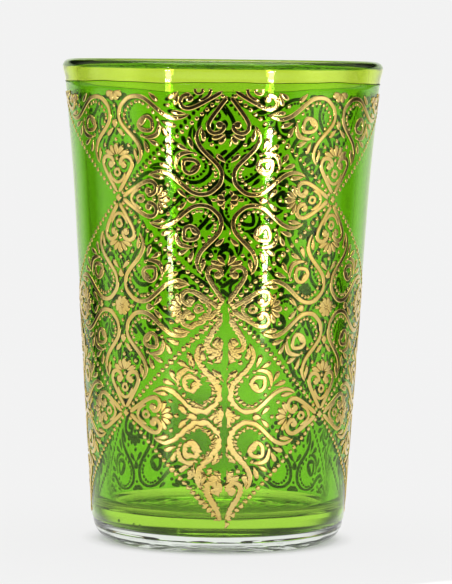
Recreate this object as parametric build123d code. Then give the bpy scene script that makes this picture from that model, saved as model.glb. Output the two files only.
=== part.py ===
from build123d import *
import os
from math import ceil, copysign, cos, hypot, pi, radians, sin, sqrt

# A Moroccan tea glass: a tapered tumbler of pressed clear glass, a green lacquer on its outside and
# a raised gold lattice of lozenges on the lacquer. Millimetres, +Z up. The origin is on the table in
# the middle of the foot. The front is -Y, and angles round the glass go from the front towards +X.

# Glass
height = 90.0
rim_radius = 29.85        # widest circle of the rounded drinking edge
rim_round = 1.0           # radius of the fire-polished edge
flare_height = 26.0       # the wall flares a little over this height under the rim
shoulder_radius = 27.4    # outer radius where the flare starts
foot_radius = 23.3        # the straight wall carried down to the table
heel_round = 2.4
rest_ring_width = 1.8     # flat ring that the glass stands on
push_up = 1.2             # depth of the dished underside
wall_at_foot = 2.9
wall_at_shoulder = 2.5
floor_thickness = 6.3
floor_round = 2.0

# Lacquer
clear_band = 3.6          # bare glass left between the table and the lacquer
lip_band = 2.6            # from the lacquer's upper edge to the top of the rim
edge_line = 0.15          # bare line between the lacquer's edge and the wash above it
coat_seat = 0.06          # clearance between the glass and what is brushed on it
coat_thickness = 0.12
wash_thickness = 0.08     # thin, pale wash on the lip

# Gold
lattice_top_margin = 1.1  # from the uppermost knots to the lacquer's upper edge
lattice_foot = 6.1        # height of the lowest knots
lattice_rows = 4          # rows of lattice lines, one above the other
lozenges_round = 4        # lozenges side by side in a row
plain_row = 1             # in this row every second lozenge is left as a plain green window
gold_seat = 0.10          # clearance between the lacquer and the flat back of a gold piece
gold_relief = 0.25
border_width = 0.9
border_step = 3.7         # longest straight piece of a border line
knot_radius = 0.85
knot_gap = 0.15           # from a knot's side to the border line's end
ribbon_width = 1.0
ribbon_step = 3.0         # longest straight piece of a ribbon
heart_width = 0.7
heart_pieces = 4          # straight pieces in each strand of a heart
rosette_petals = 8

shoulder_height = height - flare_height
coat_top = height - lip_band
lattice_top = coat_top - lattice_top_margin
half_height = (lattice_top - lattice_foot) / lattice_rows
half_angle = 180.0 / lozenges_round
gold_back = coat_seat + coat_thickness + gold_seat

# The outlines of the glass are drawn as points of radius and height.
rim_centre = Vector(rim_radius - rim_round, height - rim_round)
outer_foot = Vector(foot_radius, 0)
outer_shoulder = Vector(shoulder_radius, shoulder_height)
inner_foot = Vector(foot_radius - wall_at_foot, 0)
inner_shoulder = Vector(shoulder_radius - wall_at_shoulder, shoulder_height)


def square_to(foot, shoulder):
    """Outward normal of the straight wall between two points."""
    along = (shoulder - foot).normalized()
    return Vector(along.Y, -along.X)


def flare(foot, shoulder, side):
    """Centre, signed radius and end of the arc that runs on from a straight wall at its shoulder and
    touches the rim's round. Side is 1 for the outer wall and -1 for the inner one."""
    out = square_to(foot, shoulder)
    reach = shoulder - rim_centre
    radius = (reach.dot(reach) - rim_round**2) / (2 * (side * rim_round - out.dot(reach)))
    centre = shoulder + out * radius
    touch = rim_centre + (centre - rim_centre) * (side * rim_round / (radius + side * rim_round))
    return centre, radius, touch


outer_centre, outer_flare, outer_touch = flare(outer_foot, outer_shoulder, 1)
inner_centre, inner_flare, inner_touch = flare(inner_foot, inner_shoulder, -1)


def flare_point(centre, radius, level):
    """Point of a flare arc at a height."""
    return Vector(centre.X - copysign(sqrt(radius**2 - (level - centre.Y) ** 2), radius), level)


def flare_middle(centre, radius, touch):
    """Point of a flare arc halfway between the shoulder and the rim."""
    return flare_point(centre, radius, (shoulder_height + touch.Y) / 2)


def wall(level):
    """Point and outward normal of the outer wall at a height."""
    if level <= shoulder_height:
        point = outer_foot + (outer_shoulder - outer_foot) * (level / shoulder_height)
        return point, square_to(outer_foot, outer_shoulder)
    point = flare_point(outer_centre, outer_flare, level)
    return point, (outer_centre - point) / outer_flare


def skin(level, offset):
    """Point at an offset outside the outer wall, square to the wall at a height."""
    point, out = wall(level)
    return point + out * offset


def rounded(corner, wall_end, radius):
    """Start, middle and end of the arc that rounds a corner between a level line from the axis and
    a wall that goes up to wall_end."""
    along = (wall_end - corner).normalized()
    reach = radius * sqrt((1 - along.X) / (1 + along.X))
    start = corner - Vector(reach, 0)
    centre = start + Vector(0, radius)
    return start, centre + (corner - centre).normalized() * radius, corner + along * reach


def turned(edges):
    """Solid made by turning a closed outline of edges round the glass's axis."""
    return revolve(make_face([Plane.XZ * edge for edge in edges]), Axis.Z)


def glass_body():
    """Tumbler with a flared wall, rounded rim, thick floor, rounded heel and dished underside."""
    heel = rounded(outer_foot, outer_shoulder, heel_round)
    ring_inner = heel[0] - Vector(rest_ring_width, 0)
    dish_radius = (ring_inner.X**2 + push_up**2) / (2 * push_up)
    dish_fall = dish_radius - sqrt(dish_radius**2 - ring_inner.X**2 / 4)
    dish_top = Vector(0, push_up)
    dish_middle = Vector(ring_inner.X / 2, push_up - dish_fall)

    inner_rise = (inner_shoulder - inner_foot) / shoulder_height
    floor_edge = rounded(inner_foot + inner_rise * floor_thickness, inner_shoulder, floor_round)
    floor_middle = Vector(0, floor_thickness)
    rim_top = Vector(rim_centre.X, height)
    return turned([
        Line(ring_inner, heel[0]),
        ThreePointArc(*heel),
        Line(heel[2], outer_shoulder),
        ThreePointArc(outer_shoulder, flare_middle(outer_centre, outer_flare, outer_touch), outer_touch),
        ThreePointArc(outer_touch, rim_top, inner_touch),
        ThreePointArc(inner_touch, flare_middle(inner_centre, inner_flare, inner_touch), inner_shoulder),
        Line(inner_shoulder, floor_edge[2]),
        ThreePointArc(*reversed(floor_edge)),
        Line(floor_edge[0], floor_middle),
        Line(floor_middle, dish_top),
        ThreePointArc(dish_top, dish_middle, ring_inner),
    ])


def layer(low, high, thickness):
    """Shell of a brushed layer on the outer wall between two heights."""
    edges = []
    for offset in (coat_seat, coat_seat + thickness):
        start = max(low, shoulder_height)
        points = [skin(level, offset) for level in (start, (start + high) / 2, high)]
        edges.append(ThreePointArc(*points))
        if low < start:
            edges.append(Line(skin(low, offset), points[0]))
    for level in (low, high):
        edges.append(Line(skin(level, coat_seat), skin(level, coat_seat + thickness)))
    return turned(edges)


def on_wall(angle, level):
    """Point on the seat of the gold and outward normal, at an angle from the front and a height."""
    seat = skin(level, gold_back)
    out = wall(level)[1]
    side, front = sin(radians(angle)), -cos(radians(angle))
    return Vector(seat.X * side, seat.X * front, seat.Y), Vector(out.X * side, out.X * front, out.Y)


def facet(*corners):
    """Flat face between three corners."""
    return Face(Wire.make_polygon(corners))


def ridge(path, width, end_share):
    """Gold line of triangular section along a path of (angle, height). Its section shrinks to a
    share at both ends."""
    places = [on_wall(*point) for point in path]
    last = len(places) - 1
    sections = []
    for i, (seat, out) in enumerate(places):
        along = places[min(i + 1, last)][0] - places[max(i - 1, 0)][0]
        share = end_share if i in (0, last) else 1
        across = out.cross(along).normalized() * (width * share / 2)
        sections.append((seat - across, seat + across, seat + out * (gold_relief * share)))
    faces = [facet(*sections[0]), facet(*sections[last])]
    for near, far in zip(sections, sections[1:]):
        for i in range(3):
            faces.append(facet(near[i - 1], near[i], far[i]))
            faces.append(facet(near[i - 1], far[i], far[i - 1]))
    return Solid(Shell(faces))


def stud(middle, outline):
    """Low pointed gold piece with a flat back. Its outline is a list of (angle, height), brought
    into the plane that touches the wall at its middle."""
    seat, out = on_wall(*middle)
    corners = []
    for point in outline:
        corner = on_wall(*point)[0]
        corners.append(corner - out * (corner - seat).dot(out))
    return loft([make_face(Polyline(*corners, close=True)), Vertex(*(seat + out * gold_relief))], ruled=True)


def in_lozenge(row, p, q):
    """Angle and height of a place in a row's first lozenge. p goes across and q up, and both are 0 in
    its middle and 1 at its corners."""
    return p * half_angle, lattice_top + (q - row) * half_height


def border_line(row, turn):
    """Lattice line from a knot at the top of a row to the next knot below, on one side."""
    ends = (0, lattice_top - row * half_height), (turn * half_angle, lattice_top - (row + 1) * half_height)
    arc = radians(half_angle) * wall(ends[0][1])[0].X
    run = hypot(arc, half_height)
    trim = (knot_radius / sqrt(2) + knot_gap) / run
    pieces = ceil(run / border_step)
    shares = [trim + (1 - 2 * trim) * i / pieces for i in range(pieces + 1)]
    path = [(ends[1][0] * share, ends[0][1] - half_height * share) for share in shares]
    return ridge(path, border_width, 1)


def knot(row):
    """Square stud on the crossing of the border lines."""
    angle, level = 0, lattice_top - row * half_height
    swing = knot_radius / radians(1) / wall(level)[0].X
    return stud((angle, level), [(swing, level), (0, level + knot_radius), (-swing, level), (0, level - knot_radius)])


def ribbon(row, right, up):
    """Scrolled ribbon that loops round a quarter of the lozenge, alike on both sides of its diagonal.
    Its ends stand at the border, and its loop swings in to the middle."""
    half = [(0.215, 0.685), (0.262, 0.595), (0.235, 0.485), (0.15, 0.40), (0.075, 0.315), (0.06, 0.205)]
    curve = Spline(*half, (0.118, 0.118), *[(q, p) for p, q in reversed(half)])
    pieces = ceil(curve.length * max(radians(half_angle) * shoulder_radius, half_height) / ribbon_step)
    path = [curve @ (i / pieces) for i in range(pieces + 1)]
    return ridge([in_lozenge(row, right * at.X, up * at.Y) for at in path], ribbon_width, 0.35)


def towards(row, corner, p, q):
    """Place of a corner motif that is drawn for the lozenge's upper corner."""
    right, up = corner
    return in_lozenge(row, p * up + q * right, q * up - p * right)


def heart_strand(row, corner, side):
    """One of the two strands of the heart in a lozenge's corner. They leave its tip together, swing
    out to the borders and curl in."""
    curve = Spline((0.016, 0.92), (0.115, 0.79), (0.172, 0.66), (0.11, 0.588), (0.05, 0.64))
    path = [curve @ (i / heart_pieces) for i in range(heart_pieces + 1)]
    return ridge([towards(row, corner, side * at.X, at.Y) for at in path], heart_width, 0.4)


def palmette(row, corner):
    """Fan of five petals under a heart, spread towards the lozenge's middle."""
    outline = [(0.02, 0.615), (-0.02, 0.615)]
    for i in range(9):
        swing = radians(-80 + 20 * i)
        reach = 0.115 if i % 2 == 0 else 0.07
        outline.append((reach * sin(swing), 0.585 - reach * cos(swing)))
    return stud(towards(row, corner, 0, 0.56), [towards(row, corner, *at) for at in outline])


def drop(row, right, up):
    """Drop in a ribbon's loop, rounded towards the lozenge's middle and pointed to the border."""
    outline = []
    for i in range(6):
        turn = pi * i / 3
        reach = 0.105 if i == 0 else 0.075
        along, across = reach * cos(turn) / sqrt(2), reach * sin(turn) / sqrt(2)
        outline.append((0.295 + along - across, 0.295 + along + across))
    places = [in_lozenge(row, right * p, up * q) for p, q in outline]
    return stud(in_lozenge(row, right * 0.295, up * 0.295), places)


def rosette(row):
    """Star of petals in the middle of a lozenge."""
    outline = []
    for i in range(2 * rosette_petals):
        turn = pi * i / rosette_petals
        reach = 0.095 if i % 2 == 0 else 0.055
        outline.append((reach * sin(turn), reach * cos(turn)))
    return stud(in_lozenge(row, 0, 0), [in_lozenge(row, *at) for at in outline])


def filled(row):
    """Numbers of a row's lozenges that hold ornament. The plain row has every second one as a window,
    and the bottom row of upper halves has ornament only at the back."""
    if row == plain_row:
        return range(0, lozenges_round, 2)
    if row == lattice_rows:
        return range(1, lozenges_round - 1)
    return range(lozenges_round)


def round_about(solids, row, numbers=range(lozenges_round)):
    """Copies of a row's solids on its numbered lozenges, which stand under the gaps of the row above."""
    shift = half_angle if row % 2 == 0 else 0
    return [Rot(0, 0, shift + 2 * half_angle * i) * solid for i in numbers for solid in solids]


def gold():
    """Gold pieces by kind. The first row's lozenges are cut to their lower halves and the last row's
    to their upper halves."""
    kinds = {name: [] for name in ("border_lines", "knots", "ribbons", "hearts", "palmettes", "drops", "rosettes")}
    for row in range(lattice_rows + 1):
        halves = {0: (-1,), lattice_rows: (1,)}.get(row, (-1, 1))
        whole = len(halves) == 2
        corners = [(0, up) for up in halves] + ([(1, 0), (-1, 0)] if whole else [])
        quarters = [(right, up) for right in (1, -1) for up in halves]
        motifs = {
            "ribbons": [ribbon(row, *quarter) for quarter in quarters],
            "drops": [drop(row, *quarter) for quarter in quarters],
            "hearts": [heart_strand(row, corner, side) for corner in corners for side in (1, -1)],
            "palmettes": [palmette(row, corner) for corner in corners],
            "rosettes": [rosette(row)] if whole else [],
        }
        for name, solids in motifs.items():
            kinds[name] += round_about(solids, row, filled(row))
        kinds["knots"] += round_about([knot(row)], row + 1)
    for row in range(lattice_rows):
        kinds["border_lines"] += round_about([border_line(row, 1), border_line(row, -1)], row + 1)
    return kinds


os.makedirs("parts", exist_ok=True)
nodes = {
    "glass_body": glass_body(),
    "green_coat": layer(clear_band, coat_top, coat_thickness),
    "lip_wash": layer(coat_top + edge_line, outer_touch.Y, wash_thickness),
}
for name, solids in gold().items():
    nodes["gold_" + name] = Compound(children=solids)
for name, shape in nodes.items():
    shape.label = name
    export_step(shape, f"parts/{name}.step")
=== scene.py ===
"""Looks of a Moroccan tea glass: clear pressed glass, green lacquer outside and raised gold print.

Sizes are in millimetres until a mesh is made. Angles go round the glass from the front (-Y) to +X.
"""
import math

import bpy
import numpy as np
from mathutils import Matrix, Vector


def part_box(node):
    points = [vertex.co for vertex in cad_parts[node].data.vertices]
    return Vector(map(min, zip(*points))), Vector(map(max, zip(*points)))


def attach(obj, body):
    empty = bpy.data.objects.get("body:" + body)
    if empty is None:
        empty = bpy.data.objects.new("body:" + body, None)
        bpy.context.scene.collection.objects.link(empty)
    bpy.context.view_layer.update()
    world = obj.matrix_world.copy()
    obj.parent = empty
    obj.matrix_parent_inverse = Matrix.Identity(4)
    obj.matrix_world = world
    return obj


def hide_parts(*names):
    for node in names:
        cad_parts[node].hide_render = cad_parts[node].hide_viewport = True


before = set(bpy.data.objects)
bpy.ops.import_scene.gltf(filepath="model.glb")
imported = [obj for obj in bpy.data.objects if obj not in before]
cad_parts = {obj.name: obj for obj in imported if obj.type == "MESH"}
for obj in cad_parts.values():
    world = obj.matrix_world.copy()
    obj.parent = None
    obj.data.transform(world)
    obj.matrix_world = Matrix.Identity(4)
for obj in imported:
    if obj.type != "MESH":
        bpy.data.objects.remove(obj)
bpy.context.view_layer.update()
MM = 0.001
ROUND = 2 * math.pi
AROUND = 256                      # points round the glass

# Glass. Its height and rim are those of the solid.
glass_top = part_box("glass_body")[1]
HEIGHT = glass_top[2] / MM
RIM_RADIUS = glass_top[0] / MM
RIM_ROUND = 1.25                  # radius of the fire-polished edge
NECK = 0.2                        # how far the wall is drawn in below the rim
NECK_START = HEIGHT - 12.0
NECK_RUN = 8.0                    # height over which it is drawn in
NECK_END = HEIGHT - 1.4
NECK_RETURN = 1.8                 # height over which it goes out again
SHOULDER = HEIGHT - 26.0          # the wall is straight below the shoulder and flares above it
SHOULDER_RADIUS = 27.4
FOOT_RADIUS = 23.3                # the straight wall carried down to the table
HEEL_ROUND = 4.0                  # large round under the wall
HEEL_KNEE = math.radians(45)      # how far the large round turns below level
HEEL_TURN = 1.5                   # small round between the large one and the bevel
HEEL_BEVEL = math.radians(62)     # how far the bevel faces below level
HEEL_EDGE = 1.0                   # round at the table
RING_WIDTH = 1.8                  # flat ring on which the glass stands
PUSH_UP = 1.2                     # height of the middle of the dished underside
WALL_AT_FOOT = 2.9
WALL_AT_SHOULDER = 2.5
FLOOR = 6.2
FLOOR_ROUND = 3.0
PLUNGER_RINGS = 0.05              # height of the faint rings in the floor
PLUNGER_STEP = 2.6
PLUNGER_FADE = 2.0                # width over which they fade at the floor's edge
BUBBLE_DEPTH = 0.8                # of the bubbles' middles under the glass's skin

# Lacquer, with seats and faces as offsets from the glass's skin
CLEAR_BAND = 3.25                 # bare glass above the table in front
BAND_RISE = 1.4                   # half of what the bare band gains at the back
COAT_TOP = HEIGHT - 3.75          # upper edge in front
SIDE_LIFT = 0.6                   # how far the upper edge is higher at the sides
BACK_DROP = 2.9                   # how far it is lower at the back
COAT_SEAT = -0.02                 # just under the skin, to tint also what the glass throws back inside
COAT_FACE = 0.18
WASH_FACE = 0.14
EDGE_LINE = 0.12                  # height of the dark line between the coat and the lip wash
EDGE_GAP = 0.005
EDGE_FACE = COAT_FACE + 0.05
RIM_BEAD_FOOT = 0.15              # lower edge of the rim's bead above the middle of the rim's round
RIM_BEAD_SEAT = WASH_FACE - 0.02
RIM_BEAD_FACE = WASH_FACE + 0.06

# Gold print: its lattice, its strokes, its open seam in front and the rubbed place beside the seam
LATTICE_TOP = HEIGHT - 5.0
LATTICE_FOOT = 5.75
ROWS = 4
LOZENGES_ROUND = 4
HALF_HEIGHT = (LATTICE_TOP - LATTICE_FOOT) / ROWS
HALF_ANGLE = math.pi / LOZENGES_ROUND
PRINT_LOW = LATTICE_FOOT - 1.0    # the print is cut level here
PRINT_HIGH = LATTICE_TOP + 0.35
BACK_SAG = 1.2                    # half of what the top row is drawn down at the back
SAG_START = 3.3                   # in rows above the table
GOLD_SEAT = COAT_FACE + 0.01
GOLD_RELIEF = 0.16
FULL_WIDTH = 0.4                  # a narrower line has less relief
LINE_WIDTH = 0.88                 # ribbons and hearts
ARCH_WIDTH = 0.68
HEART_RING_WIDTH = 0.6
DROP_WIDTH = 0.8
CRESCENT_WIDTH = 1.05
BORDER_BEAD, MIDDLE_BEAD = 0.44, 0.58
LOOP_BEAD = 0.36
CURL_END = 0.78
PALMETTE_DOT = 0.42
ROSETTE_DOT = 0.38
KNOT = 0.8
KNOT_HOLLOW = 0.75                # share of the knot's radius at the middles of its sides
BORDER_RELIEF = 0.13
LOOP_RELIEF = 0.11
PALMETTE_RELIEF = 0.12
ROSETTE_RELIEF = 0.18
DOT_SIDES = 10
LEAF_FULLNESS = 0.65              # brings the widest place of a leaf to its given width
SEAM = 0.42                       # half of the seam's width
SEAM_WAVES = 0.16, 0.12           # heights of its edge's long and short waves
ON_SEAM = 0.003                   # angle from the seam within which a stroke lies across it
RUB_ANGLE = -6.0                  # middle of the rubbed place, in degrees from the front
RUB_WIDTH = 15.0                  # in degrees
RUB_TOP = 46.0
RUB_FADE = 3.0                    # height over which it fades at its top
RUB_SPREAD = 0.45                 # share by which lines are wider in the rubbed place
RUB_GROWTH = 0.35                 # share by which dots and leaves are larger
RUB_ASIDE = 0.016                 # ragged shift round the glass, as an angle
RUB_UP = 0.22                     # ragged shift up the glass


# The wall

def straight_wall(foot_radius, shoulder_radius, side):
    """A straight wall and the large arc that runs on from it to the rim's round, as the wall's rise,
    its normal, the arc's centre and radius and the point where it touches the rim."""
    rise = (shoulder_radius - foot_radius) / SHOULDER
    normal = np.array([1, -rise]) / math.hypot(1, rise)
    rim_centre = np.array([RIM_RADIUS - RIM_ROUND, HEIGHT - RIM_ROUND])
    shoulder = np.array([shoulder_radius, SHOULDER])
    reach = shoulder - rim_centre
    radius = (reach @ reach - RIM_ROUND**2) / (2 * (side * RIM_ROUND - normal @ reach))
    centre = shoulder + normal * radius
    touch = rim_centre + (centre - rim_centre) * side * RIM_ROUND / (radius + side * RIM_ROUND)
    return rise, normal, centre, radius, touch


RISE, NORMAL, FLARE_CENTRE, FLARE, OUTER_TOUCH = straight_wall(FOOT_RADIUS, SHOULDER_RADIUS, 1)
INNER_RISE, _, INNER_CENTRE, INNER_FLARE, INNER_TOUCH = straight_wall(
    FOOT_RADIUS - WALL_AT_FOOT, SHOULDER_RADIUS - WALL_AT_SHOULDER, -1)


def ease(share):
    """Smooth step from 0 to 1."""
    share = np.clip(share, 0, 1)
    return share * share * (3 - 2 * share)


def outer_wall(level):
    """Radius of the outer wall and its outward normal at each height: a straight line up to the
    shoulder and an arc above it, drawn in a little below the rim."""
    arc = FLARE_CENTRE[0] - np.sqrt(FLARE**2 - (level - FLARE_CENTRE[1]) ** 2)
    low = level <= SHOULDER
    neck = NECK * ease((level - NECK_START) / NECK_RUN) * ease((NECK_END - level) / NECK_RETURN)
    radius = np.where(low, FOOT_RADIUS + RISE * level, arc - neck)
    normal_r = np.where(low, NORMAL[0], (FLARE_CENTRE[0] - arc) / FLARE)
    normal_z = np.where(low, NORMAL[1], (FLARE_CENTRE[1] - level) / FLARE)
    return radius, normal_r, normal_z


def on_wall(angle, level, offset):
    """Points in space at an angle, a height and an offset square to the outer wall."""
    radius, normal_r, normal_z = outer_wall(level)
    r = radius + normal_r * offset
    return np.stack([r * np.sin(angle), -r * np.cos(angle), level + normal_z * offset], axis=-1)


# Meshes

def make_object(name, points, groups):
    """Smooth object from points in millimetres and groups of polygons, where each group has one number
    of sides and one material."""
    mesh = bpy.data.meshes.new(name)
    points = np.asarray(points, dtype=np.float32).reshape(-1, 3) * np.float32(MM)
    sides = np.concatenate([np.full(len(part), part.shape[1]) for part, _ in groups])
    corners = np.concatenate([part.reshape(-1) for part, _ in groups]).astype(np.int32)
    materials = list(dict.fromkeys(material for _, material in groups))
    slots = np.concatenate([np.full(len(part), materials.index(material)) for part, material in groups])
    mesh.vertices.add(len(points))
    mesh.vertices.foreach_set("co", points.reshape(-1))
    mesh.loops.add(len(corners))
    mesh.loops.foreach_set("vertex_index", corners)
    mesh.polygons.add(len(sides))
    mesh.polygons.foreach_set("loop_start", np.concatenate([[0], np.cumsum(sides)[:-1]]).astype(np.int32))
    mesh.polygons.foreach_set("use_smooth", np.ones(len(sides), dtype=bool))
    for material in materials:
        mesh.materials.append(material)
    mesh.polygons.foreach_set("material_index", slots.astype(np.int32))
    mesh.update(calc_edges=True)
    thing = bpy.data.objects.new(name, mesh)
    bpy.context.collection.objects.link(thing)
    return thing


def grid_quads(rows, columns, wrap_rows, wrap_columns):
    """Quads between the points of a grid numbered row by row, closed over the marked directions."""
    index = np.arange(rows * columns).reshape(rows, columns)
    near = index if wrap_rows else index[:-1]
    far = np.roll(index, -1, axis=0) if wrap_rows else index[1:]
    if not wrap_columns:
        return np.stack([near[:, :-1], near[:, 1:], far[:, 1:], far[:, :-1]], axis=-1).reshape(-1, 4)
    beside, across = np.roll(near, -1, axis=1), np.roll(far, -1, axis=1)
    return np.stack([near, beside, across, far], axis=-1).reshape(-1, 4)


def fan(tip, ring):
    """Triangles from a tip to each side of a closed ring of points."""
    return np.stack([np.full(len(ring), tip), ring, np.roll(ring, -1)], axis=-1)


def copies_outward(points, polygons):
    """Polygons for each of many copies of a closed shape, turned so that each copy faces outwards.
    A copy's side is read from the sign of the volume that its fans of triangles hold."""
    count, size = points.shape[:2]
    local = points - points.mean(axis=1, keepdims=True)
    volume = np.zeros(count)
    for part in polygons:
        for k in range(1, part.shape[1] - 1):
            a, b, c = local[:, part[:, 0]], local[:, part[:, k]], local[:, part[:, k + 1]]
            volume += np.einsum("ijk,ijk->i", a, np.cross(b, c))
    shift = (np.arange(count) * size)[:, None, None]
    turned_over = (volume < 0)[:, None, None]
    placed = [part[None] + shift for part in polygons]
    return [np.where(turned_over, part[..., ::-1], part).reshape(-1, part.shape[-1]) for part in placed]


def arc(centre, radius, start, end, count):
    """Points of a circle's arc between two angles."""
    turn = np.linspace(start, end, count)
    return np.stack([centre[0] + radius * np.cos(turn), centre[1] + radius * np.sin(turn)], axis=-1)


def smooth(points, count, closed=False):
    """Evenly timed points of the cubic curve through the given points, whose slope at each point is
    half the step between its two neighbours."""
    points = np.asarray(points, dtype=float)
    if closed:
        ring = np.concatenate([points[-1:], points, points[:2]])
        spans = len(points)
    else:
        ring = np.concatenate([2 * points[:1] - points[1:2], points, 2 * points[-1:] - points[-2:-1]])
        spans = len(points) - 1
    time = np.linspace(0, spans, count, endpoint=not closed)
    span = np.minimum(time.astype(int), spans - 1)
    t = (time - span)[:, None]
    a, b, c, d = (ring[span + k] for k in range(4))
    return b + 0.5 * t * (c - a + t * (2 * a - 5 * b + 4 * c - d + t * (3 * (b - c) + d - a)))


# Materials

def linear(code):
    """Linear colour from a hex code in sRGB."""
    value = np.array([int(code[i:i + 2], 16) for i in (1, 3, 5)]) / 255
    value = np.where(value <= 0.04045, value / 12.92, ((value + 0.055) / 1.055) ** 2.4)
    return (*value, 1.0)


def node(tree, kind, sockets=None, **settings):
    """New node in a tree, with settings of its own. A socket goes by name, or by number where a name is
    used twice, and takes a value or the output of another node."""
    new = tree.nodes.new(kind)
    for name, value in settings.items():
        setattr(new, name, value)
    for name, value in (sockets or {}).items():
        if isinstance(value, bpy.types.NodeSocket):
            tree.links.new(value, new.inputs[name])
        else:
            new.inputs[name].default_value = value
    return new


def new_material(name):
    """Empty material, its tree and the place of a point on the object."""
    material = bpy.data.materials.new(name)
    material.use_nodes = True
    tree = material.node_tree
    tree.nodes.clear()
    return material, tree, node(tree, "ShaderNodeTexCoord").outputs["Object"]


def finish(tree, output):
    """Leads a shader to the material's surface."""
    node(tree, "ShaderNodeOutputMaterial", {"Surface": output})


def soda_lime_glass():
    """Pressed soda-lime glass, fire polished: clear, with slow waves of 9 mm left by the mould."""
    material, tree, place = new_material("soda_lime_glass")
    waves = node(tree, "ShaderNodeTexNoise", {"Vector": place, "Scale": 1 / (9 * MM), "Detail": 1.0})
    bump = node(tree, "ShaderNodeBump", {
        "Height": waves.outputs["Fac"], "Strength": 0.08, "Distance": 0.3 * MM})
    shader = node(tree, "ShaderNodeBsdfPrincipled", {
        "Base Color": linear("#f4faf2"), "Roughness": 0.0, "IOR": 1.52, "Transmission Weight": 1.0,
        "Normal": bump.outputs["Normal"]})
    finish(tree, shader.outputs["BSDF"])
    return material


def lacquer(name, code, gloss, thinnest=0.85, patch=6.0):
    """Translucent lacquer: tints what is seen through it, unevenly over patches of some millimetres,
    and gives a clear gloss of its own. It is so thin that it doesn't bend light."""
    material, tree, place = new_material(name)
    thick = np.array(linear(code))
    thin = np.array([*(thick[:3] ** thinnest), 1.0])
    patches = node(tree, "ShaderNodeTexNoise", {"Vector": place, "Scale": 1 / (patch * MM), "Detail": 2.0})
    tint = node(tree, "ShaderNodeMix", {0: patches.outputs["Fac"], 6: thick, 7: thin}, data_type="RGBA")
    shader = node(tree, "ShaderNodeBsdfPrincipled", {
        "Base Color": tint.outputs[2], "Roughness": 0.0, "IOR": 1.0, "Transmission Weight": 1.0,
        "Coat Weight": gloss, "Coat IOR": 1.31, "Coat Roughness": 0.05})
    finish(tree, shader.outputs["BSDF"])
    return material


def gold_print():
    """Bright gold fired on raised enamel: metal in two tones over patches of 5 mm, with a fine grain of
    0.35 mm that breaks up its gloss."""
    material, tree, place = new_material("gold_print")
    patches = node(tree, "ShaderNodeTexNoise", {"Vector": place, "Scale": 1 / (5 * MM), "Detail": 2.0})
    grain = node(tree, "ShaderNodeTexNoise", {"Vector": place, "Scale": 1 / (0.35 * MM), "Detail": 3.0})
    ramp = node(tree, "ShaderNodeValToRGB", {"Fac": patches.outputs["Fac"]})
    for element, position, code in zip(ramp.color_ramp.elements, (0.3, 0.7), ("#dcbd66", "#ead084")):
        element.position = position
        element.color = linear(code)
    rough = node(tree, "ShaderNodeMapRange", {
        "Value": grain.outputs["Fac"], "To Min": 0.07, "To Max": 0.18})
    bump = node(tree, "ShaderNodeBump", {
        "Height": grain.outputs["Fac"], "Strength": 0.45, "Distance": 0.04 * MM})
    shader = node(tree, "ShaderNodeBsdfPrincipled", {
        "Base Color": ramp.outputs["Color"], "Metallic": 1.0, "Roughness": rough.outputs["Result"],
        "Normal": bump.outputs["Normal"]})
    finish(tree, shader.outputs["BSDF"])
    return material


def enamel_ground():
    """Dull brown enamel under the gold, which shows from inside the glass, with a grain of 0.8 mm."""
    material, tree, place = new_material("enamel_ground")
    grain = node(tree, "ShaderNodeTexNoise", {"Vector": place, "Scale": 1 / (0.8 * MM), "Detail": 2.0})
    brown = node(tree, "ShaderNodeMix", {
        0: grain.outputs["Fac"], 6: linear("#3a3018"), 7: linear("#5a4a28")}, data_type="RGBA")
    shader = node(tree, "ShaderNodeBsdfPrincipled", {"Base Color": brown.outputs[2], "Roughness": 0.6})
    finish(tree, shader.outputs["BSDF"])
    return material


CLEAR = soda_lime_glass()
GREEN = lacquer("green_lacquer", "#b0e63f", 1.0)
PALE = lacquer("lip_wash_lacquer", "#f2ff89", 0.8)
DARK = lacquer("lacquer_edge", "#3a5214", 0.3)
DEEP = lacquer("deep_green_lacquer", "#86b83a", 0.8, 0.4, 1.6)
GOLD = gold_print()
ENAMEL = enamel_ground()


# Glass and lacquer

def corner_round(corner, rise, radius, count):
    """Arc that rounds the corner between a level line from the axis and a wall of a given rise."""
    turn = math.atan2(1, rise)
    centre = corner + np.array([-radius * math.tan(turn / 2), radius])
    return arc(centre, radius, -math.pi / 2, turn - math.pi / 2, count)


def rim_arc(start, end, offset, count):
    """Arc round the rim between two points' directions, at an offset outside the glass."""
    centre = np.array([RIM_RADIUS - RIM_ROUND, HEIGHT - RIM_ROUND])
    turns = [math.atan2(*(point - centre)[::-1]) for point in (start, end)]
    return arc(centre, RIM_ROUND + offset, *turns, count)


RIM_CREST = np.array([RIM_RADIUS - RIM_ROUND, HEIGHT])


def heel_outline():
    """Outline of the heel from the table up to the wall: a small round, a bevel and two rounds, the
    upper one large."""
    turn = math.atan2(1, RISE)
    out, down = math.cos(HEEL_BEVEL), math.sin(HEEL_BEVEL)
    centre = np.array([FOOT_RADIUS - HEEL_ROUND * math.tan(turn / 2), HEEL_ROUND])
    upper = arc(centre, HEEL_ROUND, -HEEL_KNEE, turn - math.pi / 2, 12)
    centre = upper[0] - HEEL_TURN * np.array([math.cos(HEEL_KNEE), -math.sin(HEEL_KNEE)])
    middle = arc(centre, HEEL_TURN, -HEEL_BEVEL, -HEEL_KNEE, 6)
    drop = middle[0, 1] - HEEL_EDGE * (1 - down)
    end = middle[0] - drop * np.array([down / out, 1])
    lower = arc(end - HEEL_EDGE * np.array([out, -down]), HEEL_EDGE, -math.pi / 2, -HEEL_BEVEL, 6)
    return np.concatenate([lower, middle[:-1], upper])


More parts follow.
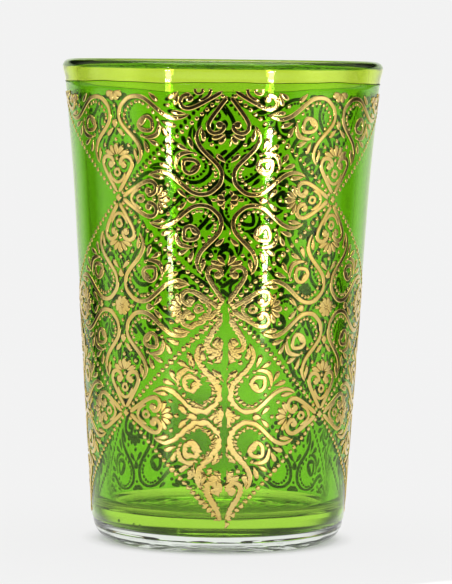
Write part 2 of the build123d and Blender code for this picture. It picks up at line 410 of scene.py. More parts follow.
def glass_profile():
    """Outline of the glass from the underside's middle round to the floor's middle. The floor has
    the faint rings that the plunger leaves."""
    heel = heel_outline()
    ring_inner = heel[0, 0] - RING_WIDTH
    across = np.linspace(0, ring_inner, 24)[:-1]
    dish = np.stack([across, PUSH_UP * (1 - (across / ring_inner) ** 2)], axis=-1)
    outer_levels = np.concatenate([np.linspace(heel[-1, 1], SHOULDER, 24)[1:],
                                   np.linspace(SHOULDER, OUTER_TOUCH[1], 16)[1:]])
    outer = np.stack([outer_wall(outer_levels)[0], outer_levels], axis=-1)
    rim = rim_arc(OUTER_TOUCH, INNER_TOUCH, 0.0, 20)[1:]
    inner_levels = np.linspace(INNER_TOUCH[1], SHOULDER, 16)[1:]
    flare = INNER_CENTRE[0] - np.sqrt(INNER_FLARE**2 - (inner_levels - INNER_CENTRE[1]) ** 2)
    inner = np.stack([flare, inner_levels], axis=-1)
    corner = np.array([FOOT_RADIUS - WALL_AT_FOOT + INNER_RISE * FLOOR, FLOOR])
    floor_edge = corner_round(corner, INNER_RISE, FLOOR_ROUND, 12)[::-1]
    wall_levels = np.linspace(SHOULDER, floor_edge[0, 1], 24)[1:]
    wall = np.stack([FOOT_RADIUS - WALL_AT_FOOT + INNER_RISE * wall_levels, wall_levels], axis=-1)
    out = np.linspace(floor_edge[-1, 0], 0, 60)[1:]
    fade = np.clip((floor_edge[-1, 0] - out) / PLUNGER_FADE, 0, 1)
    rings = np.stack([out, FLOOR + PLUNGER_RINGS * fade * np.cos(ROUND * out / PLUNGER_STEP)], axis=-1)
    return np.concatenate([dish, [[ring_inner, 0.0]], heel, outer, rim, inner, wall, floor_edge[1:], rings])


def sphere_grid(centre, radius, rows=8, around=12):
    """Points and polygons of a small ball: level rings between two poles."""
    tilt = np.linspace(0, math.pi, rows + 1)[1:-1, None]
    turn = np.linspace(0, ROUND, around, endpoint=False)[None, :]
    rings = np.stack([np.sin(tilt) * np.cos(turn), np.sin(tilt) * np.sin(turn),
                      np.cos(tilt) + 0 * turn], axis=-1)
    points = np.concatenate([rings.reshape(-1, 3), [[0, 0, 1], [0, 0, -1]]]) * radius + centre
    first = np.arange(around)
    last = first + (rows - 2) * around
    fans = np.concatenate([fan(len(points) - 2, first), fan(len(points) - 1, last[::-1])])
    return points, [grid_quads(rows - 1, around, False, True)[:, ::-1], fans]


def turned(outline, angle):
    """Points of an outline of radius and height at each angle of a column, shape (angles, outline, 3)."""
    r = outline[:, 0]
    z = np.broadcast_to(outline[:, 1], (len(angle), len(outline)))
    return np.stack([r * np.sin(angle), -r * np.cos(angle), z], axis=-1)


# Angle in degrees, height and radius of the air bubbles left in the glass of the foot
BUBBLES = [(-20.4, 4.2, 0.48), (-40.6, 4.5, 0.3), (-44.2, 4.6, 0.3), (-54.3, 4.9, 0.32), (150.0, 4.2, 0.3)]


def glass_body(name, profile, around=AROUND):
    """Tumbler made by turning an outline whose ends are on the axis, with its two poles as single
    points, and with air bubbles in the foot, whose faces look into the bubbles."""
    body = profile[1:-1]
    rows = turned(body, np.linspace(0, ROUND, around, endpoint=False)[:, None]).swapaxes(0, 1)
    points = np.concatenate([rows.reshape(-1, 3), [[0, 0, profile[0, 1]], [0, 0, profile[-1, 1]]]])
    first = np.arange(around)
    last = first + (len(body) - 1) * around
    fans = np.concatenate([fan(len(points) - 2, first[::-1]), fan(len(points) - 1, last)])
    quads, fans = copies_outward(points[None], [grid_quads(len(body), around, False, True), fans])
    groups = [(quads, CLEAR), (fans, CLEAR)]
    for angle, level, radius in BUBBLES:
        centre = on_wall(np.radians(angle), np.array(level), -BUBBLE_DEPTH)
        ball, polygons = sphere_grid(centre, radius)
        for part in copies_outward(ball[None], polygons):
            groups.append((part[:, ::-1] + len(points), CLEAR))
        points = np.concatenate([points, ball])
    return make_object(name, points, groups)


def coat_edge(angle):
    """Height of the lacquer's upper edge round the glass: a brushed line that waves a little and
    runs lower at the back."""
    wave = 0.10 * np.sin(3 * angle + 0.7) + 0.09 * np.sin(8 * angle + 2.0) + 0.04 * np.sin(19 * angle)
    return COAT_TOP + SIDE_LIFT * np.sin(angle) ** 2 - BACK_DROP * np.abs(np.sin(angle / 2)) ** 3 + wave


def coat_foot(angle):
    """Height of the lacquer's lower edge, which waves a little and runs higher at the back."""
    return CLEAR_BAND + BAND_RISE * (1 - np.cos(angle)) + 0.05 * np.sin(5 * angle)


def shell(name, low, high, face, material, rows=40, around=AROUND, over_rim=False):
    """Closed thin layer on the outer wall between two edges, each a function of the angle: a grid
    round the glass and round the layer's section. A layer may run on over the rim to its crest."""
    angle = np.linspace(0, ROUND, around, endpoint=False)[:, None]
    share = np.linspace(0, 1, rows)[None, :]
    level = low(angle) + (high(angle) - low(angle)) * share
    wide = np.broadcast_to(angle, level.shape)
    sides = []
    for offset in (COAT_SEAT, face):
        side = on_wall(wide, level, offset)
        if over_rim:
            crest = rim_arc(OUTER_TOUCH, RIM_CREST, offset, 8)[1:]
            side = np.concatenate([side, turned(crest, angle)], axis=1)
        sides.append(side)
    points = np.concatenate([sides[0], sides[1][:, ::-1]], axis=1)
    quads = copies_outward(points.reshape(1, -1, 3), [grid_quads(*points.shape[:2], True, True)])
    return make_object(name, points, [(quads[0], material)])


def ring(name, section, material, around=AROUND):
    """Closed ring made by turning a closed section of radius and height about the axis."""
    points = turned(section, np.linspace(0, ROUND, around, endpoint=False)[:, None])
    quads = copies_outward(points.reshape(1, -1, 3), [grid_quads(*points.shape[:2], True, True)])
    return make_object(name, points, [(quads[0], material)])


def add(piece, slot, *nodes):
    """Rides a piece on the glass and hides the solids that it stands for. The material slot is not used."""
    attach(piece, "root")
    if nodes:
        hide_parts(*nodes)


def rim_edge(angle):
    """Height at which the wall goes over into the rim's round."""
    return 0 * angle + OUTER_TOUCH[1]


def above_coat(gap):
    """Edge that follows the lacquer's upper edge at a gap above it."""
    return lambda angle: coat_edge(angle) + gap


def rim_bead():
    """Section of the bead of deeper lacquer that lies on the rim, from its side to its crest."""
    side = np.array([RIM_RADIUS, HEIGHT - RIM_ROUND + RIM_BEAD_FOOT])
    seat, face = (rim_arc(side, RIM_CREST, offset, 10) for offset in (RIM_BEAD_SEAT, RIM_BEAD_FACE))
    return np.concatenate([seat, face[::-1]])


add(glass_body("clear_glass_body", glass_profile()), "clear_glass", "glass_body")
add(shell("green_lacquer_coat", coat_foot, coat_edge, COAT_FACE, GREEN), "green_lacquer", "green_coat")
add(shell("pale_lip_wash", above_coat(EDGE_LINE), rim_edge, WASH_FACE, PALE, rows=10, over_rim=True),
    "lip_wash_lacquer", "lip_wash")
edges = above_coat(EDGE_GAP), above_coat(EDGE_LINE - EDGE_GAP)
add(shell("dark_lacquer_edge", *edges, EDGE_FACE, DARK, rows=3), "green_lacquer")
add(ring("rim_lacquer_bead", rim_bead(), DEEP), "green_lacquer")


# Gold print. A lozenge has its own coordinates: p across and q up, 0 in the middle and 1 at its corners.

def lozenges():
    """Middle angle, middle height and kept half of each filled lozenge, with 0 for a whole one. The top
    row is cut to its lower half and the bottom row to its upper half. Two lozenges on the sides, the
    lowest whole one at the back and the two halves beside the front's lowest one are left plain."""
    found = []
    for row in range(ROWS + 1):
        kept = {0: -1, ROWS: 1}.get(row, 0)
        for i in range(LOZENGES_ROUND):
            middle = 2 * HALF_ANGLE * i + (HALF_ANGLE if row % 2 == 0 else 0)
            window = row == 1 and i % 2 or row == ROWS - 1 and i == 2
            front_half = row == ROWS and math.cos(middle) > 0
            if not (window or front_half):
                found.append((middle, LATTICE_TOP - row * HALF_HEIGHT, kept))
    return found


LOZENGES = lozenges()
WHOLE = [np.eye(2)]
CORNERS = [np.array([[c, s], [-s, c]]) for c, s in ((1, 0), (0, 1), (-1, 0), (0, -1))]
QUARTERS = [np.array([[right, 0], [0, up]]) for right in (1, -1) for up in (1, -1)]


def folded(points, *middle):
    """A path up to a quarter's diagonal, the points on the diagonal and the path's mirror image."""
    return [*points, *middle, *[(q, p) for p, q in reversed(points)]]


def both_sides(points):
    """Points, or leaves of two points and a width, on the right of the axis and on its left."""
    return [*points, *[tuple(-v if i in (0, 2) else v for i, v in enumerate(point)) for point in points]]


def spread(shapes, turns):
    """Copies of paths in lozenge coordinates, shape (shapes, points, 2), over all turns of a lozenge
    and all lozenges, as angles and heights, with the number of the shape of each. Copies that a cut
    lozenge has no place for are left out."""
    placed, numbers = [], []
    for middle, level, kept in LOZENGES:
        for turn in turns:
            pq = shapes @ turn.T
            keep = np.flatnonzero(((kept * pq[..., 1]).max(axis=1) > 0.02) | (kept == 0))
            pq = pq[keep]
            places = middle + pq[..., 0] * HALF_ANGLE, level + pq[..., 1] * HALF_HEIGHT
            placed.append(np.stack(places, axis=-1))
            numbers.append(keep)
    return np.concatenate(placed), np.concatenate(numbers)


def from_front(angle):
    """Angle from the front between minus and plus half a turn."""
    return np.remainder(angle + math.pi, ROUND) - math.pi


def smear(angle, level):
    """Share by which the gold is rubbed, most of it low on the left of the seam."""
    beside = np.exp(-(((np.degrees(from_front(angle)) - RUB_ANGLE) / RUB_WIDTH) ** 2))
    return beside / (1 + np.exp((level - RUB_TOP) / RUB_FADE))


def print_points(angle, level, height, side):
    """Points of the print on the lacquer: cut level at top and bottom, drawn down a little at the top
    of the back, ragged where it was rubbed, and open at the seam in front, where the print's two ends
    stand about a millimetre apart along a wavy edge. The points keep to one side of the seam, -1 or 1."""
    level = np.clip(level, PRINT_LOW, PRINT_HIGH)
    level = level - BACK_SAG * (1 - np.cos(angle)) * np.clip(level / HALF_HEIGHT - SAG_START, 0, 1)
    rub = smear(angle, level)
    angle = from_front(angle) + rub * RUB_ASIDE * np.sin(9.0 * level) * np.sin(31 * angle)
    level = level + rub * RUB_UP * np.sin(67 * angle + 1.7 * level)
    long, short = SEAM_WAVES
    edge = SEAM + long * np.sin(level * 0.9) + short * np.sin(level * 2.3 + 1)
    gap = edge / outer_wall(level)[0]
    beyond = (side * angle < gap) & (np.abs(angle) < 1)
    return on_wall(np.where(beyond, side * gap, angle), level, GOLD_SEAT + height)


# Half of a stroke's section as shares of its half width and relief: a flat top and narrow round shoulders
SHOULDERS = np.array([(1.0, 0.0), (0.92, 0.6), (0.78, 0.92), (0.62, 1.0), (0.48, 1.0)])
SECTION = np.concatenate([SHOULDERS, SHOULDERS[::-1] * [-1, 1]])


def strokes(name, paths, width, closed=False):
    """Raised lines: a flat-topped section carried along each path (copies, points, 2) of angles and
    heights. The width is in millimetres at each point and may go to nothing at the ends. Lines that
    would lie across the seam are left out."""
    middle = from_front(paths[..., 0].mean(axis=1))
    clear = np.abs(middle) > ON_SEAM
    paths = paths[clear]
    side = np.where(middle[clear] < 0, -1, 1)[:, None, None]
    angle, level = paths[..., 0], paths[..., 1]
    radius = outer_wall(level)[0]
    if closed:
        step_a = np.roll(angle, -1, axis=1) - np.roll(angle, 1, axis=1)
        step_z = np.roll(level, -1, axis=1) - np.roll(level, 1, axis=1)
    else:
        step_a, step_z = np.gradient(angle, axis=1), np.gradient(level, axis=1)
    step_a = step_a * radius
    length = np.hypot(step_a, step_z) + 1e-9
    wide = width * (1 + RUB_SPREAD * smear(angle, level))
    across = wide[..., None] * SECTION[:, 0] / 2
    a = angle[..., None] - across * (step_z / length / radius)[..., None]
    z = level[..., None] + across * (step_a / length)[..., None]
    height = GOLD_RELIEF * np.minimum(1, wide / FULL_WIDTH)[..., None] * SECTION[:, 1]
    points = print_points(a, z, height, side)
    count, along, around = points.shape[:3]
    flat = points.reshape(count, along * around, 3)
    quads = grid_quads(along, around, closed, True)
    back = np.arange(len(quads)) % around == around - 1
    parts = copies_outward(flat, [quads])[0].reshape(count, -1, 4)
    groups = [(parts[:, ~back], GOLD), (parts[:, back], ENAMEL)]
    return make_object(name, flat, [(part.reshape(-1, 4), material) for part, material in groups])


# Rings of a raised dot as shares of its outline and relief
DOME = np.array([(0.45, 0.92), (0.8, 0.68), (1.0, 0.0)])
FLAT = np.array([(0.5, 1.0), (0.7, 0.98), (0.88, 0.75), (1.0, 0.0)])


def blobs(name, middles, outlines, relief=GOLD_RELIEF, rise=FLAT):
    """Raised dots, leaves and petals: rings inside an outline (copies, points, 2) in millimetres across
    and up, round each middle's angle and height, with a flat back."""
    angle, level = middles[:, 0, None, None], middles[:, 1, None, None]
    grow = 1 + RUB_GROWTH * smear(angle, level)
    a = angle + grow * outlines[:, None, :, 0] * rise[None, :, :1] / outer_wall(level)[0]
    z = level + grow * outlines[:, None, :, 1] * rise[None, :, :1]
    side = np.where(from_front(angle) < -ON_SEAM, -1, 1)
    rings = print_points(a, z, relief * rise[None, :, 1:], side)
    count, ring_count, around = rings.shape[:3]
    ends = [print_points(angle[:, 0], level[:, 0], np.array(height), side[:, 0])
            for height in (relief, 0.0)]
    points = np.concatenate([rings.reshape(count, -1, 3), *ends], axis=1)
    quads = grid_quads(ring_count, around, False, True)
    first = np.arange(around)
    last = first + (ring_count - 1) * around
    tip, base = ring_count * around, ring_count * around + 1
    parts = copies_outward(points, [quads, fan(tip, first[::-1]), fan(base, last)])
    return make_object(name, points, list(zip(parts, (GOLD, GOLD, ENAMEL))))


def round_outline(radius, sides=DOT_SIDES):
    """Outline of a round dot."""
    turn = np.linspace(0, ROUND, sides, endpoint=False)
    return radius * np.stack([np.cos(turn), np.sin(turn)], axis=-1)


def leaves(spots, turns, sides=16):
    """Middles and outlines of leaves given as their round end, their pointed end and a width in
    millimetres. A leaf is a circle drawn out in length, whose width goes to nothing at one end."""
    spots = np.asarray(spots, dtype=float)
    ends, numbers = spread(spots[:, :4].reshape(-1, 2, 2), turns)
    middle = ends.mean(axis=1)
    step = ends[:, 1] - ends[:, 0]
    reach = np.stack([step[:, 0] * outer_wall(middle[:, 1])[0], step[:, 1]], axis=-1)
    length = np.hypot(*reach.T)[:, None]
    along_x, along_z = (reach / length).T[..., None]
    turn = np.linspace(0, ROUND, sides, endpoint=False)[None, :]
    across = spots[numbers, 4:5] * LEAF_FULLNESS * np.sin(turn) * np.sin(turn / 2)
    along = length / 2 * np.cos(turn)
    outlines = np.stack([across * along_z + along * along_x, along * along_z - across * along_x], axis=-1)
    return middle, outlines


def dots(spots, radius, turns):
    """Middles and outlines of round dots at places (p, q)."""
    middle = spread(np.asarray(spots, dtype=float)[:, None], turns)[0][:, 0]
    return middle, np.broadcast_to(round_outline(radius), (len(middle), DOT_SIDES, 2))


def paths(points, turns, count, closed=False):
    """Copies of one smooth path through points."""
    return spread(smooth(points, count, closed)[None], turns)[0]


def taper(count, ends):
    """Width share along a line that rounds off over a share of its length at each end."""
    t = np.linspace(0, 1, count)
    return np.sqrt(np.clip(t / ends, 0, 1) * np.clip((1 - t) / ends, 0, 1))


def tapered(name, points, turns, width, ends, count=24):
    """Raised lines along copies of one smooth path, rounded off over a share of each end."""
    return strokes(name, paths(points, turns, count), width * taper(count, ends))


# Scrolled ribbons, one in each quarter, with a leaf along each end
ribbon = folded([(0.211, 0.685), (0.238, 0.645), (0.254, 0.59), (0.25, 0.54), (0.222, 0.478), (0.175, 0.42),
                 (0.11, 0.35), (0.066, 0.29), (0.05, 0.225), (0.062, 0.155)], (0.103, 0.103))
add(tapered("gold_ribbon_scrolls", ribbon, QUARTERS, LINE_WIDTH, 0.14, 64), "gold", "gold_ribbons")
end_leaves = [(0.196, 0.53, 0.216, 0.67, 0.95), (0.53, 0.196, 0.67, 0.216, 0.95)]
add(blobs("gold_ribbon_end_leaves", *leaves(end_leaves, QUARTERS)), "gold")

# Beads inside each ribbon's loop
loop = folded([(0.267, 0.417), (0.17, 0.357), (0.117, 0.285), (0.10, 0.234), (0.125, 0.172)])
add(blobs("gold_loop_beads", *dots(smooth(loop, 15), LOOP_BEAD, QUARTERS), LOOP_RELIEF, DOME), "gold")

# Hearts in the corners: two strands that curl in to a thick end, with an arch and a small ring inside
STRAND_POINTS = 44
strand = smooth([(0.004, 0.952), (0.05, 0.888), (0.095, 0.818), (0.14, 0.745), (0.162, 0.69),
                 (0.158, 0.645), (0.13, 0.617), (0.09, 0.613), (0.055, 0.633), (0.038, 0.668),
                 (0.05, 0.70)], STRAND_POINTS)
pair = spread(np.stack([strand, strand * [-1, 1]]), CORNERS)[0]
add(strokes("gold_heart_strands", pair, LINE_WIDTH * taper(STRAND_POINTS, 0.05)), "gold", "gold_hearts")
add(blobs("gold_heart_curl_ends", *dots(both_sides([(0.072, 0.688)]), CURL_END, CORNERS)), "gold")
arch = [(-0.09, 0.755), (-0.078, 0.797), (-0.045, 0.838), (0, 0.855), (0.045, 0.838), (0.078, 0.797),
        (0.09, 0.755)]
add(tapered("gold_heart_arches", arch, CORNERS, ARCH_WIDTH, 0.15), "gold")
turn = np.linspace(0, ROUND, 14, endpoint=False)
little_ring = np.stack([0.029 * np.sin(turn), 0.762 + 0.031 * np.cos(turn)], axis=-1)
heart_rings = spread(little_ring[None], CORNERS)[0]
add(strokes("gold_heart_rings", heart_rings, np.full(14, HEART_RING_WIDTH), closed=True), "gold")

# Palmettes under the hearts, with a few dots
petals = [(0, 0.485, 0, 0.604, 1.35)]
petals += both_sides([(0.076, 0.51, 0.01, 0.60, 1.05), (0.138, 0.56, 0.02, 0.604, 1.05)])
add(blobs("gold_palmette_petals", *leaves(petals, CORNERS)), "gold", "gold_palmettes")
palmette_dots = dots([(0, 0.632), (0, 0.452), (0.135, 0.508), (-0.135, 0.508)], PALMETTE_DOT, CORNERS)
add(blobs("gold_palmette_dots", *palmette_dots, PALMETTE_RELIEF, DOME), "gold")


def in_quarter(along, across, middle=0.30):
    """Place given along a quarter's diagonal and across it, from a middle on the diagonal."""
    return middle + (along - across) / math.sqrt(2), middle + (along + across) / math.sqrt(2)


# Drops in the ribbons' loops: a ring with a corner to the border and a leaf across its inner side
drop = [in_quarter(*at) for at in ((0.088, 0), (0.058, 0.04), (0.015, 0.065), (-0.03, 0.052), (-0.048, 0),
                                   (-0.03, -0.052), (0.015, -0.065), (0.058, -0.04))]
drop_rings = paths(drop, QUARTERS, 28, True)
add(strokes("gold_drop_rings", drop_rings, np.full(28, DROP_WIDTH), closed=True), "gold", "gold_drops")
drop_leaf = [(*in_quarter(-0.022, 0.055), *in_quarter(-0.022, -0.06), 1.05)]
add(blobs("gold_drop_leaves", *leaves(drop_leaf, QUARTERS)), "gold")

# Leaves between the drops and the border
crescent = folded([(0.43, 0.275), (0.432, 0.335)], (0.405, 0.405))
add(tapered("gold_crescents", crescent, QUARTERS, CRESCENT_WIDTH, 0.5), "gold")
spray = [(0.328, 0.578, 0.285, 0.455, 1.0), (0.425, 0.507, 0.32, 0.45, 0.95)]
spray += [(q, p, tip_q, tip_p, width) for p, q, tip_p, tip_q, width in spray]
add(blobs("gold_leaf_sprays", *leaves(spray, QUARTERS)), "gold")
axis = [(0, 0.262, 0, 0.35, 1.45)] + both_sides([(0.10, 0.422, 0.012, 0.338, 0.95)])
add(blobs("gold_axis_leaves", *leaves(axis, CORNERS)), "gold")

# Rosettes in the middles
rosette = [(0.14, 0, 0.075, 0, 0.7), (-0.14, 0, -0.075, 0, 0.7)]
for k in range(8):
    s, c = math.sin((k + 0.5) * math.pi / 4), math.cos((k + 0.5) * math.pi / 4)
    rosette.append((0.096 * s, 0.096 * c, 0.004 * s, 0.004 * c, 1.3))
add(blobs("gold_rosette_petals", *leaves(rosette, WHOLE)), "gold", "gold_rosettes")
rosette_dots = dots([(0, 0), (0, 0.135), (0, -0.135)], ROSETTE_DOT, WHOLE)
add(blobs("gold_rosette_dots", *rosette_dots, ROSETTE_RELIEF, DOME), "gold")


def crossing(row, i):
    """Angle and height at which two border lines cross."""
    return 2 * HALF_ANGLE * i + (HALF_ANGLE if row % 2 else 0), LATTICE_TOP - row * HALF_HEIGHT


def lattice(shares):
    """Places at shares of the way along all border lines, from knot to knot, shape (lines, shares, 2)."""
    rows = []
    for row in range(ROWS):
        for i in range(LOZENGES_ROUND):
            start, level = crossing(row, i)
            for side in (1, -1):
                places = start + side * HALF_ANGLE * shares, level - shares * HALF_HEIGHT
                rows.append(np.stack(places, axis=-1))
    return np.stack(rows)


# Border lines are rows of beads, with a larger one halfway
BEADS = 23
border = lattice(np.linspace(0.05, 0.95, BEADS))
sizes = np.full(BEADS, BORDER_BEAD)
sizes[BEADS // 2] = MIDDLE_BEAD
outlines = np.broadcast_to(sizes[:, None, None] * round_outline(1.0), (len(border), BEADS, DOT_SIDES, 2))
outlines = outlines.reshape(-1, DOT_SIDES, 2)
add(blobs("gold_border_beads", border.reshape(-1, 2), outlines, BORDER_RELIEF, DOME),
    "gold", "gold_border_lines")

# Knots are squares with hollow sides
knots = np.array([crossing(row, i) for row in range(ROWS + 1) for i in range(LOZENGES_ROUND)])
square = round_outline(KNOT, 8) * np.resize([[1.0], [KNOT_HOLLOW]], (8, 1))
add(blobs("gold_lattice_knots", knots, np.broadcast_to(square, (len(knots), 8, 2))), "gold", "gold_knots")


# Studio

# Greys of the room by the share of the way from its front to its back
ROOM_TONES = ((0.1, 0.02), (0.2, 0.05), (0.325, 0.9), (0.575, 0.9), (0.675, 0.04), (0.775, 0.05),
              (0.82, 0.32), (0.865, 0.7), (0.92, 0.89))
ROOM_TURN = math.radians(6)       # its back is this far to the right

# Light of the room by the share of the way from straight down to straight up
ROOM_LIGHT = ((0.59, 1.0), (0.605, 0.8), (0.62, 0.2), (0.635, 0.03), (0.76, 0.03), (0.8, 0.3), (0.95, 0.6))

# Grey ceiling: how steeply up a direction starts to meet it, and how far back it ends
CEILING_START = (0.24, 0.34)
CEILING_END = (0.6, 0.8)

# Card: its edges, and the depth from which on it is whole
CARD_WIDE = (-2500, 2500)
CARD_DEEP = (-290, 15000)
CARD_WHOLE = -180

# Shares of the card's own tone beside the glass and far off, and its painted glow in front, a pool of light
# that makes it brighter than white there, with where they fade
BESIDE_SHARE, BESIDE_FADE = 0.92, (18, 26)
FAR_SHARE, FAR_FADE = 0.08, (50, 400)
PAINTED_FRONT_GLOW, PAINTED_GLOW_FADE = 1.7, (-110, -75)

# Ovals on the card, one of painted shade behind the glass that stands for its shadow and one of white round
# it: how they are squeezed and where they fade
PAINTED_SHADE_MIDDLE = 190
PAINTED_SHADE_SQUEEZE = (5.8, 1.0, 0.0)
PAINTED_SHADE_FADE = (60, 130)
WHITE_SQUEEZE = (0.8, 0.42, 0.0)
WHITE_FADE = (90, 170)

# Names and angles of the two narrow lights in front, and the painted reflections of them: streaks of glow
# on the matt card
STRIPS = (("left", -42.5), ("right", 33))
STREAK_WIDTH = math.radians(5)
STREAK_FADE = (65, 90)
STREAK = 2.0


def set_greys(ramp, stops):
    """Gives a ramp its greys at stops of place and tone."""
    elements = ramp.color_ramp.elements
    for place, grey in stops:
        elements.new(place).color = (grey, grey, grey, 1)
    elements.remove(elements[0])
    elements.remove(elements[-1])


def surroundings(tree, direction):
    """Grey of the room in a level direction: a white screen behind the glass, dark gaps beside it,
    light sides and a dark front."""
    back = (math.sin(ROOM_TURN), math.cos(ROOM_TURN), 0)
    ahead = node(tree, "ShaderNodeVectorMath", {0: direction, 1: back}, operation="DOT_PRODUCT")
    share = node(tree, "ShaderNodeMapRange", {"Value": ahead.outputs["Value"], "From Min": -1.0})
    tones = node(tree, "ShaderNodeValToRGB", {"Fac": share.outputs["Result"]})
    set_greys(tones, ROOM_TONES)
    return tones.outputs["Color"]


def around_glass(angle, distance, level):
    """Place at an angle from the front in degrees, a distance from the axis and a height."""
    return distance * math.sin(math.radians(angle)), -distance * math.cos(math.radians(angle)), level


def painted_strip_reflections(tree, place, away):
    """Strength of the painted reflections of the two narrow lights: streaks of glow on the matt card."""
    direction = node(tree, "ShaderNodeVectorMath", {0: place}, operation="NORMALIZE").outputs["Vector"]
    streaks = []
    for _, angle in STRIPS:
        along = node(tree, "ShaderNodeVectorMath", {0: direction, 1: around_glass(angle, 1, 0)},
                     operation="DOT_PRODUCT")
        streaks.append(node(tree, "ShaderNodeMapRange", {
            "Value": along.outputs["Value"], "From Min": math.cos(STREAK_WIDTH)}).outputs["Result"])
    both = node(tree, "ShaderNodeMath", {0: streaks[0], 1: streaks[1]}, operation="ADD")
    strength = node(tree, "ShaderNodeMapRange", {
        "Value": away, "From Min": STREAK_FADE[0] * MM, "From Max": STREAK_FADE[1] * MM, "To Max": STREAK})
    return node(tree, "ShaderNodeMath", {0: both.outputs["Value"], 1: strength.outputs["Result"]},
                operation="MULTIPLY").outputs["Value"]


def oval_share(tree, place, squeeze, fade):
    """Share that is 1 inside an oval round a place's zero and fades to 0 outside it."""
    oval = node(tree, "ShaderNodeVectorMath", {0: place, 1: squeeze}, operation="MULTIPLY")
    out = node(tree, "ShaderNodeVectorMath", {0: oval.outputs["Vector"]}, operation="LENGTH")
    return node(tree, "ShaderNodeMapRange", {
        "Value": out.outputs["Value"], "From Min": fade[0] * MM, "From Max": fade[1] * MM,
        "To Min": 1.0, "To Max": 0.0}).outputs["Result"]


def card_tone(tree, place):
    """Colour of the card: white round the glass, with a painted shade behind it, a long soft grey oval that
    stands for the glass's shadow, and the room's grey farther off."""
    # Painted shade: the card's white is mixed towards grey in a long oval behind the glass
    behind = node(tree, "ShaderNodeVectorMath", {0: place, 1: (0.0, -PAINTED_SHADE_MIDDLE * MM, 0.0)},
                  operation="ADD")
    shade = oval_share(tree, behind.outputs["Vector"], PAINTED_SHADE_SQUEEZE, PAINTED_SHADE_FADE)
    white = node(tree, "ShaderNodeMix", {0: shade, 6: linear("#f2f2f2"), 7: linear("#a8aaa6")},
                 data_type="RGBA")
    direction = node(tree, "ShaderNodeVectorMath", {0: place}, operation="NORMALIZE")
    room = surroundings(tree, direction.outputs["Vector"])
    near = oval_share(tree, place, WHITE_SQUEEZE, WHITE_FADE)
    return node(tree, "ShaderNodeMix", {0: near, 6: room, 7: white.outputs[2]}, data_type="RGBA").outputs[2]


def white_card_with_painted_light():
    """Matt card that shows its own tone, with a small part of the light and shade that fall on it, and only
    that light under the glass. It glows brighter near the front as a painted pool of light, carries painted
    reflections of the two narrow lights and a painted shade behind the glass, and thins out towards its
    front edge."""
    material, tree, place = new_material("white_card_with_painted_light")
    away = node(tree, "ShaderNodeVectorMath", {0: place}, operation="LENGTH").outputs["Value"]
    depth = node(tree, "ShaderNodeSeparateXYZ", {"Vector": place}).outputs["Y"]
    tone = card_tone(tree, place)
    beside = node(tree, "ShaderNodeMapRange", {
        "Value": away, "From Min": BESIDE_FADE[0] * MM, "From Max": BESIDE_FADE[1] * MM,
        "To Max": BESIDE_SHARE})
    far = node(tree, "ShaderNodeMapRange", {
        "Value": away, "From Min": FAR_FADE[0] * MM, "From Max": FAR_FADE[1] * MM, "To Max": FAR_SHARE})
    own = node(tree, "ShaderNodeMath", {0: beside.outputs["Result"], 1: far.outputs["Result"]},
               operation="ADD")
    # Painted light: the card glows brighter than its white in front of the glass
    glow = node(tree, "ShaderNodeMapRange", {
        "Value": depth, "From Min": PAINTED_GLOW_FADE[0] * MM, "From Max": PAINTED_GLOW_FADE[1] * MM,
        "To Min": PAINTED_FRONT_GLOW, "To Max": 1.0})
    # Emission strength: painted reflections of the narrow lights added to the painted glow in front
    strength = node(tree, "ShaderNodeMath", {
        0: painted_strip_reflections(tree, place, away), 1: glow.outputs["Result"]}, operation="ADD")
    lit = node(tree, "ShaderNodeBsdfDiffuse", {"Color": tone})
    shown = node(tree, "ShaderNodeEmission", {"Color": tone, "Strength": strength.outputs["Value"]})
    whole = node(tree, "ShaderNodeMixShader", {
        0: own.outputs["Value"], 1: lit.outputs["BSDF"], 2: shown.outputs["Emission"]})
    front = node(tree, "ShaderNodeMapRange", {
        "Value": depth, "From Min": CARD_DEEP[0] * MM, "From Max": CARD_WHOLE * MM})
    nothing = node(tree, "ShaderNodeBsdfTransparent")
    thinned = node(tree, "ShaderNodeMixShader", {
        0: front.outputs["Result"], 1: nothing.outputs["BSDF"], 2: whole.outputs["Shader"]})
    finish(tree, thinned.outputs["Shader"])
    return material


def card(name, x, y, material):
    """Level sheet at the table's height between two pairs of edges."""
    points = np.array([[[a, b, 0.0] for b in y] for a in x])
    return make_object(name, points, [(grid_quads(2, 2, False, False)[:, ::-1], material)])


floor = card("floor", CARD_WIDE, CARD_DEEP, white_card_with_painted_light())


def area(name, place, size, power, aim):
    """Rectangular soft light at a place, turned to a point, both in millimetres."""
    lamp = bpy.data.lights.new(name, "AREA")
    lamp.shape = "RECTANGLE"
    lamp.size, lamp.size_y = size[0] * MM, size[1] * MM
    lamp.energy = power
    thing = bpy.data.objects.new(name, lamp)
    bpy.context.collection.objects.link(thing)
    place, aim = np.array(place, float), np.array(aim, float)
    z = (place - aim) / np.linalg.norm(place - aim)
    side = np.cross([0, 0, 1], z) if abs(z[2]) < 0.99 else np.array([1.0, 0, 0])
    side /= np.linalg.norm(side)
    axes = np.stack([side, np.cross(z, side), z], axis=1)
    thing.matrix_world = Matrix([[*row, at * MM] for row, at in zip(axes, place)] + [[0, 0, 0, 1]])


# Two tall narrow lights stand in front, left and right, below the table's height and brighter lower down
STRIP_WIDTH = 50
# End of the name, distance, middle's height, length and power of a light's whole and of its lower part
STRIP_PARTS = (("", 700, -150, 180, 1.9), ("_low", 690, -185, 130, 2.4))
for name, angle in STRIPS:
    for part, distance, level, length, power in STRIP_PARTS:
        place = around_glass(angle, distance, level)
        area(f"strip_{name}{part}", place, (STRIP_WIDTH, length), power, (0, 0, level))
area("overhead", (0, 100, 1300), (1200, 1200), 14.0, (0, 0, 0))


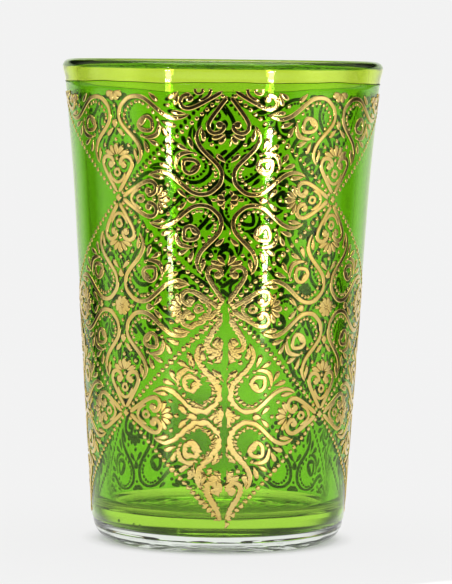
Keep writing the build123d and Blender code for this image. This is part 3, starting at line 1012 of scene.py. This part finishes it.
def studio_light():
    """Surroundings of the card: the room's tones up to the top of a low screen, dark above the screen,
    and a grey ceiling over the rest of the room."""
    world = bpy.data.worlds.new("studio")
    bpy.context.scene.world = world
    world.use_nodes = True
    tree = world.node_tree
    tree.nodes.clear()
    direction = node(tree, "ShaderNodeTexCoord").outputs["Generated"]
    level = node(tree, "ShaderNodeSeparateXYZ", {"Vector": direction})
    share = node(tree, "ShaderNodeMapRange", {"Value": level.outputs["Z"], "From Min": -1.0})
    light = node(tree, "ShaderNodeValToRGB", {"Fac": share.outputs["Result"]})
    set_greys(light, ROOM_LIGHT)
    tones = surroundings(tree, direction)
    room = node(tree, "ShaderNodeMix", {0: 1.0, 6: tones, 7: light.outputs["Color"]},
                data_type="RGBA", blend_type="MULTIPLY")
    above = node(tree, "ShaderNodeMapRange", {
        "Value": level.outputs["Z"], "From Min": CEILING_START[0], "From Max": CEILING_START[1]})
    aside = node(tree, "ShaderNodeMapRange", {
        "Value": level.outputs["Y"], "From Min": CEILING_END[0], "From Max": CEILING_END[1],
        "To Min": 1.0, "To Max": 0.0})
    ceiling = node(tree, "ShaderNodeMath", {0: above.outputs["Result"], 1: aside.outputs["Result"]},
                   operation="MULTIPLY")
    whole = node(tree, "ShaderNodeMix", {
        0: ceiling.outputs["Value"], 6: room.outputs[2], 7: linear("#b0b0b0")}, data_type="RGBA")
    shine = node(tree, "ShaderNodeBackground", {"Color": whole.outputs[2], "Strength": 1.0})
    node(tree, "ShaderNodeOutputWorld", {"Surface": shine.outputs["Background"]})


studio_light()

# Camera, worked out from the rim's and foot's ellipses in the photograph of 452 x 584 pixels
CAMERA_DISTANCE = 700.0
CAMERA_HEIGHT = 95.5
CAMERA_SIDE = 1.06
CAMERA_TURN = math.radians(-2.4)
CAMERA_PITCH = math.radians(3.993)
CAMERA_ROLL = math.radians(0.667)
FOCAL_PIXELS = 3724.0
IMAGE_HEIGHT = 584
LIGHT_BOUNCES = 24

lens = bpy.data.cameras.new("camera")
lens.sensor_fit = "VERTICAL"
lens.sensor_height = 36.0
lens.lens = FOCAL_PIXELS / IMAGE_HEIGHT * lens.sensor_height
lens.clip_end = 100.0
camera = bpy.data.objects.new("camera", lens)
bpy.context.collection.objects.link(camera)
camera.matrix_world = (Matrix.Rotation(CAMERA_TURN, 4, "Z")
                       @ Matrix.Translation((CAMERA_SIDE * MM, -CAMERA_DISTANCE * MM, CAMERA_HEIGHT * MM))
                       @ Matrix.Rotation(math.pi / 2 - CAMERA_PITCH, 4, "X")
                       @ Matrix.Rotation(CAMERA_ROLL, 4, "Z"))
scene = bpy.context.scene
scene.camera = camera
scene.view_settings.view_transform = "Standard"
scene.cycles.max_bounces = LIGHT_BOUNCES
scene.cycles.transmission_bounces = LIGHT_BOUNCES
scene.cycles.transparent_max_bounces = LIGHT_BOUNCES
